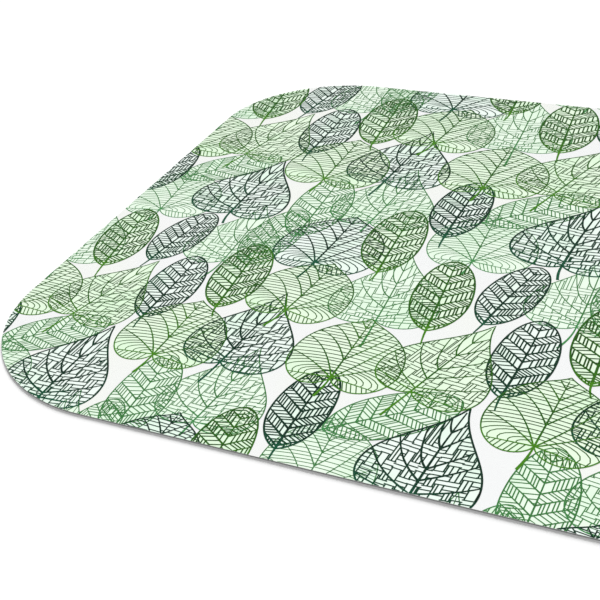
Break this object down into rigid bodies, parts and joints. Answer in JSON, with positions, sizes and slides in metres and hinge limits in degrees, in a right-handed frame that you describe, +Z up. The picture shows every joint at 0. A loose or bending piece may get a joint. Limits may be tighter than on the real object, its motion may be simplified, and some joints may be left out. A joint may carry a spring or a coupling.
{
  "type": "chair mat",
  "caption": "Flat rectangular vinyl floor mat with large rounded corners and a printed leaf pattern, laid under an office chair to protect the floor.",
  "frame": {"origin": "centre of the mat's underside, on the floor", "axes": "+X along the mat's long side, +Y along its short side towards the back of the picture, +Z up through its thickness"},
  "size_m": [1.4, 1, 0.002],
  "materials": {
    "grip_backing": "matt light grey soft vinyl with a fine grain",
    "core_sheet": "matt white vinyl, seen only at the cut edge",
    "printed_film": "white vinyl printed with green and teal leaf line drawings",
    "wear_laminate": "clear satin film with a fine embossed grain"
  },
  "bodies": {
    "root": {"grip_backing": "grip_backing", "core_sheet": "core_sheet", "printed_film": "printed_film", "wear_laminate": "wear_laminate"}
  },
  "joints": []
}
